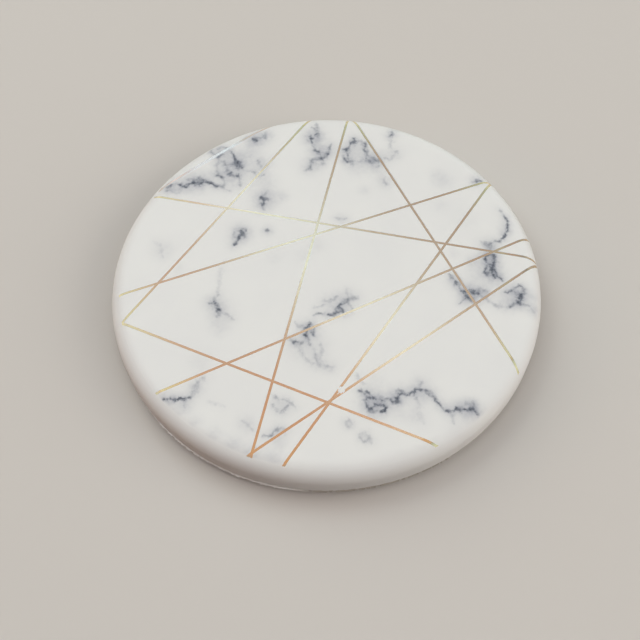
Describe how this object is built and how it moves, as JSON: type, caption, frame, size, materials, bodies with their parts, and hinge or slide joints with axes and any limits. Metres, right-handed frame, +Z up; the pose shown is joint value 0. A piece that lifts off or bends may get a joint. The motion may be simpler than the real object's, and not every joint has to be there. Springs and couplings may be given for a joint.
{
  "type": "drink coaster",
  "caption": "Round ceramic coaster with a rounded shoulder, a marble decal crossed by inlaid gold lines, and a cork pad under it.",
  "frame": {"origin": "centre of the cork pad's underside, on the table", "axes": "+Z up through the disc's thickness, +X to the right and +Y away from the viewer of the picture"},
  "size_m": [0.1, 0.1, 0.0095],
  "materials": {
    "cork": "pressed cork granules, matt",
    "adhesive": "pale pressure-sensitive film",
    "biscuit": "bare pressed ceramic, matt",
    "glaze": "white coat with a satin surface",
    "decal": "printed white marble with blue-grey veins, satin",
    "gold": "thin bright gold foil"
  },
  "bodies": {
    "root": {"cork_pad": "cork", "adhesive_film": "adhesive", "ceramic_body": "biscuit", "glaze_coat": "glaze", "marble_decal": "decal", "gold_linework": "gold"}
  },
  "joints": []
}
